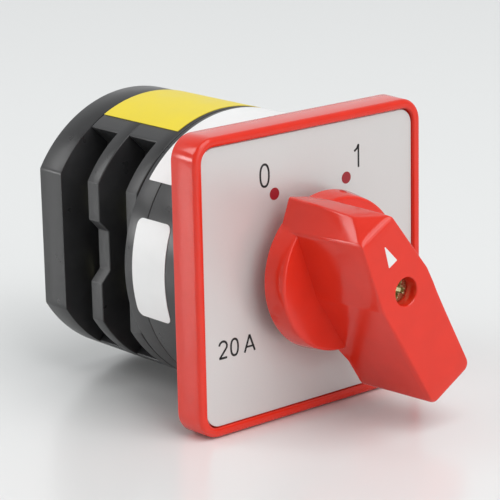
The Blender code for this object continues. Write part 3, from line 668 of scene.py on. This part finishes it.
def bar_surface():
    """The handle: bar sections stacked along Y, then its top face down into the screw hole.

    Each measure of the section runs evenly between its values at three depths. A plane that
    leans back cuts the prow near the top face: its reach grows with depth, and the smaller
    of the two radii is taken by a soft minimum.
    """
    psi = np.linspace(0, 2 * np.pi, 900, endpoint=False)
    top, neck, base = -26.5, -12.8, -9.0
    depths = (top, neck, base)
    sizes = np.array((
        (13.95, 12.45, 3.6, 5.45, -20.15, 4.7),
        (14.95, 11.9, 4.15, 6.2, -20.2, 5.2),
        (15.15, 11.6, 4.3, 6.45, -20.2, 5.35)))
    edges = np.array(((0.35, 0.9, 1.3), (0.5, 1.1, 1.3), (0.5, 1.1, 1.3)))
    top_round = (0.30 + 0.5 * np.clip(-np.cos(psi) * 2 - 0.9, 0, 1)
                 + 0.35 * np.clip((np.cos(psi) - 0.957) / 0.02, 0, 1))

    def section(y):
        values = [np.interp(y, depths, column) for column in sizes.T]
        edge = [np.interp(y, depths, column) for column in edges.T]
        return radius_at(bar_outline(*values, edge), psi)

    def leant(radius, y):
        top_reach, lean, softness = 12.25, 0.487, 0.3 * MM
        reach = (top_reach + lean * (y - top)) * MM / np.maximum(np.cos(psi), 0.2)
        return 0.5 * (radius + reach - np.sqrt((radius - reach) ** 2 + softness ** 2))

    tail_y, skirt_y, prow_y = -11.0, -9.6, -8.3
    underside = (tail_y, skirt_y, skirt_y, prow_y)
    bevel = 0.25 * MM
    share = 0.66
    outline = section(base)
    reach = outline * np.cos(psi) / MM
    inner = np.interp(reach * share, (-12, -9, 6, 9), underside) * MM
    outer = np.interp(reach, (-14.0, -11.0, 6.0, 9.0), underside) * MM
    rows = [(0, skirt_y * MM), (outline * share, inner), (outline - bevel, outer),
            (outline, outer - bevel)]
    for y in np.concatenate([np.linspace(-11.6, -12.3, 3), np.linspace(-12.35, neck, 7),
                             np.linspace(-13.4, -20.6, 17), np.linspace(-20.8, -25.6, 29)]):
        rows.append((leant(section(y), y), y * MM))
    outline = section(top)
    for angle in np.radians((0, 18, 36, 54, 72, 90)):
        y = KNOB_TOP / MM + top_round * (1 - np.sin(angle))
        crown = leant(outline, y) - top_round * MM * (1 - np.cos(angle))
        rows.append((crown, y * MM))
    for share in (0.85, 0.6, 0.3):
        rows.append((HEAD_HOLE + 0.15 * MM + (crown - HEAD_HOLE) * share, KNOB_TOP))
    hole_edge = 0.12 * MM
    rows += [(HEAD_HOLE + hole_edge, KNOB_TOP), (HEAD_HOLE, KNOB_TOP + hole_edge),
             (HEAD_HOLE, HEAD_FLOOR), (0, HEAD_FLOOR)]
    return rings(rows, psi + REST_TURN)


red_knob = plastic("glossy_red_knob", RED, 0.14, 0.03, 0.02, 0.7)
knob = surface("knob_moulding", bar_surface(), along=False, sharp=28)
SKIRT_OUTER = 11.2 * MM
SKIRT_INNER = 8.2 * MM
SKIRT_FLOOR = SKIRT_BASE - 2.4 * MM
HUB_RADIUS = 6.6 * MM
skirt_profile = fillet([
    (0, SKIRT_TOP),
    (12.3 * MM, SKIRT_TOP),
    (12.85 * MM, SKIRT_BASE),
    (SKIRT_OUTER, SKIRT_BASE),
    (SKIRT_OUTER, SKIRT_FLOOR),
    (SKIRT_INNER, SKIRT_FLOOR),
    (SKIRT_INNER, SKIRT_BASE),
    (HUB_RADIUS, SKIRT_BASE),
    (HUB_RADIUS, HUB_END),
    (0, HUB_END),
], np.array((0, 0.5, 0.25, 0.2, 0.3, 0.3, 0.2, 0.2, 0.2, 0)) * MM, 6)
skirt = revolve("knob_skirt", skirt_profile, 192, closed=False)
join("skirt", "UNION", knob, [skirt], 28)
finish_piece(knob, red_knob, "rotor", "red_plastic", "knob")

# ---- pointer mark ---------------------------------------------------------------------
# The white triangle that points at the position: paint that fills a shallow recess in the
# knob's top face and stands a hair proud of it.

mark_corners = np.array([(0, 9.3), (0.98, 5.65), (-0.98, 5.65)]) * MM
mark_x, mark_z = fillet(mark_corners, 0.08 * MM, 3).T
cosine, sine = np.cos(REST_TURN), np.sin(REST_TURN)
mark_outline = np.stack([mark_x * cosine + mark_z * sine, -mark_x * sine + mark_z * cosine], 1)
white_paint = plastic("white_paint", (0.80, 0.79, 0.78), 0.45, 0.05, 0.05, 0.3)
mark = prism("pointer_triangle", mark_outline, KNOB_TOP - 0.02 * MM, KNOB_TOP + 0.3 * MM)
finish_piece(mark, white_paint, "rotor", "white_label", "pointer_mark")

# ---- screws ---------------------------------------------------------------------------
# Zinc-plated cross-recessed screws. Each visible head is a turned dome with the cross
# pressed into it, carried on its shank.


def screw_head(name, radius, rim_y, top_y, place, shank_end, shank_radius, node, body):
    """A head whose top dips by a cross: the dip is deep where |x| or |z| is under a slot."""
    psi = np.linspace(0, 2 * np.pi, 96, endpoint=False)
    height = abs(top_y - rim_y)
    radii = np.concatenate([np.linspace(0, 0.86, 26), (0.91, 0.95, 0.98, 1.0)]) * radius
    dome = 0.25 * height * (radii / radius) ** 4
    x = radii[:, None] * np.sin(psi)
    z = radii[:, None] * np.cos(psi)
    half_slot = 0.17 * radius
    reach = 0.66 * radius
    step = 0.05 * radius

    def bar(across, length):
        side = np.clip((half_slot - np.abs(across)) / step + 0.5, 0, 1)
        end = np.clip((reach - np.abs(length)) / step + 0.5, 0, 1)
        return side * end

    fall = np.clip(1.25 - radii[:, None] / reach, 0, 1)
    cross = np.maximum(bar(x, z), bar(z, x)) * (0.45 + 0.55 * fall) * 0.7 * height
    top = top_y - np.sign(top_y - rim_y) * (dome[:, None] + cross)
    rows = [*zip(radii, top), (radius, rim_y), (shank_radius, rim_y),
            (shank_radius, shank_end), (0, shank_end)]
    thing = surface(name, rings(rows, psi), along=False, sharp=40)
    thing.data.transform(place)
    finish_piece(thing, zinc, body, "zinc_steel", node)


zinc = satin_metal("zinc_plate", (0.50, 0.49, 0.27), 0.26, 0.92, 0.14, 0.5)
screw_head("knob_screw_head", 2.18 * MM, -23.3 * MM, -24.5 * MM,
           Matrix.Rotation(np.radians(20), 4, "Y"), -14.0 * MM, 1.4 * MM, "knob_screw", "rotor")
for name, (x, z) in zip(("top", "bottom"), TIES):
    screw_head(f"tie_screw_head_{name}", 2.8 * MM, 38.8 * MM, 40.3 * MM,
               Matrix.Translation((x, 0, z)) @ Matrix.Rotation(0.4, 4, "Y"), 4.2 * MM,
               1.5 * MM, f"tie_screw_{name}", "switch_body")
for number, stage in enumerate(STAGES):
    centre_y = COVER_END + number * PITCH_Y + 6.4 * MM
    for level, up in (("top", 1), ("bottom", -1)):
        for side_name, side in (("left", -1), ("right", 1)):
            corner = f"{stage}_{level}_{side_name}"
            place = (Matrix.Translation((0, centre_y, up * 6.0 * MM))
                     @ Matrix.Rotation(side * -np.pi / 2, 4, "Z")
                     @ Matrix.Rotation(0.3 + number * 0.5 + up * 0.3, 4, "Y"))
            screw_head(f"terminal_screw_head_{corner}", 2.6 * MM, 11.5 * MM, 13.2 * MM, place,
                       8.7 * MM, 1.4 * MM, f"terminal_screw_{corner}", "switch_body")

# ---- labels ---------------------------------------------------------------------------
# Blank film labels wrapped round the body: a yellow one over the stages, and white ones on
# the top and the left of the detent housing.


def wrapped_label(name, middle, half, y0, y1, corner, material, slot_name, node):
    """A rounded rectangle of film bent round the body, psi being its width over the radius.

    Points of the rounded rectangle are shrunk towards its centre to fill it, and each goes
    out to the body's radius, inner face first and outer face last.
    """
    width = BODY_RADIUS * np.radians(half)
    height = (y1 - y0) / 2
    loop = fillet([(-width, -height), (-width, height), (width, height), (width, -height)],
                  corner, 8)
    dense = []
    for a, b in zip(loop, np.roll(loop, -1, axis=0)):
        pieces = max(1, int(np.linalg.norm(b - a) / (0.6 * MM)))
        dense.append(a + (b - a) * np.linspace(0, 1, pieces, endpoint=False)[:, None])
    loop = np.concatenate(dense)
    shares = np.linspace(0, 1, 24)
    inner = BODY_RADIUS + 0.01 * MM
    outer = BODY_RADIUS + 0.10 * MM
    rows = [(loop * share, inner) for share in shares]
    rows += [(loop * share, outer) for share in shares[::-1]]
    grid = []
    for flat, radius in rows:
        psi = np.radians(middle) + flat[:, 0] / BODY_RADIUS
        grid.append(np.stack([radius * np.sin(psi), (y0 + y1) / 2 + flat[:, 1],
                              radius * np.cos(psi)], axis=1))
    thing = surface(name, np.stack(grid), along=False, sharp=50)
    finish_piece(thing, material, "switch_body", slot_name, node)


yellow_film = plastic("yellow_film", (0.83, 0.665, 0.030), 0.45, 0.02, 0.03, 0.8)
white_film = plastic("white_film", (0.85, 0.85, 0.845), 0.40, 0.02, 0.03, 0.8)
wrapped_label("yellow_label_film", -0.3, 26.5, 15.1 * MM, 34.4 * MM, 0.1 * MM, yellow_film,
              "yellow_label", "yellow_label")
wrapped_label("top_label_film", 0, 52, 0.4 * MM, 13.1 * MM, 0.2 * MM, white_film, "white_label",
              "top_label")
wrapped_label("side_label_film", -88, 20.5, 3.9 * MM, 12.0 * MM, 1.2 * MM, white_film,
              "white_label", "side_label")

# ---- inner pieces ---------------------------------------------------------------------
# The shaft, cams, followers, springs, contacts and terminals keep their CAD shapes and get
# the finish of their own metal or plastic.

finishes = {
    "cam_plastic": plastic("off_white_acetal", (0.70, 0.69, 0.62), 0.45, 0.04, 0.06, 0.3),
    "zinc_steel": zinc,
    "spring_steel": satin_metal("drawn_spring_wire", (0.50, 0.50, 0.52), 0.25, 1.0, 0.1),
    "contact_copper": satin_metal("punched_copper", (0.80, 0.42, 0.24), 0.30, 1.0, 0.1),
}
slots = {entry["node"]: entry["material_slot"] for entry in frame["record"]["subparts"]}
for node_name, node in frame["nodes"].items():
    if slots[node_name] in finishes:
        for holder in node.material_slots:
            holder.material = finishes[slots[node_name]]

# ---- studio ---------------------------------------------------------------------------
# A pale floor under the frame's lower edge. The light comes from a wide soft box above and in
# front, a box in front, and a small box and a narrow strip at the rear left, under a sky
# that brightens towards the back.


def area_light(name, place, target, size, power, size_y=None):
    """A square or rectangular light, in watts, turned to face the target and itself unseen."""
    data = bpy.data.lights.new(name, "AREA")
    data.energy = power
    data.shape = "RECTANGLE" if size_y else "SQUARE"
    data.size = size
    if size_y:
        data.size_y = size_y
    lamp = bpy.data.objects.new(name, data)
    aim = Vector(target) - Vector(place)
    lamp.rotation_euler = aim.to_track_quat("-Z", "Y").to_euler()
    lamp.location = place
    lamp.visible_camera = False
    bpy.context.scene.collection.objects.link(lamp)


FLOOR = -24.02 * MM
FLOOR_HALF = 6.0
floor_mesh = bpy.data.meshes.new("floor")
floor_mesh.from_pydata([(-FLOOR_HALF, -FLOOR_HALF, FLOOR), (FLOOR_HALF, -FLOOR_HALF, FLOOR),
                        (FLOOR_HALF, FLOOR_HALF, FLOOR), (-FLOOR_HALF, FLOOR_HALF, FLOOR)],
                       [], [(0, 1, 2, 3)])
floor_object = bpy.data.objects.new("floor", floor_mesh)
bpy.context.scene.collection.objects.link(floor_object)
floor_material = bpy.data.materials.new("pale_sweep")
floor_material.use_nodes = True
feed(floor_material.node_tree.nodes["Principled BSDF"],
     {"Base Color": (0.80, 0.81, 0.805, 1), "Roughness": 0.24})
floor_mesh.materials.append(floor_material)

world = bpy.data.worlds.new("studio")
world.use_nodes = True
sky = world.node_tree
direction = add_node(sky, "ShaderNodeTexCoord")
toward = add_node(sky, "ShaderNodeVectorMath",
                  {0: direction.outputs["Generated"], 1: (0.6, 0.7, -0.4)}, "DOT_PRODUCT")
fade = add_node(sky, "ShaderNodeMapRange",
                {"Value": toward.outputs["Value"], "From Min": 0.0, "From Max": 0.8,
                 "To Min": 0.44, "To Max": 0.86})
feed(sky.nodes["Background"],
     {"Color": (0.975, 0.99, 1.0, 1), "Strength": fade.outputs["Result"]})
bpy.context.scene.world = world
area_light("overhead", (0.05, -0.62, 1.18), (0, 0, 0), 1.1, 9.3)
area_light("rear_left_box", (-0.505, 0.645, 0.574), (0, 0, 0), 0.30, 1.25, 0.34)
area_light("front_box", (0.00, -1.10, 0.50), (0, 0, 0), 1.1, 5.5)
area_light("left_strip", (-0.417, 0.351, 0.078), (0, 0, 0), 0.28, 0.62, 0.075)
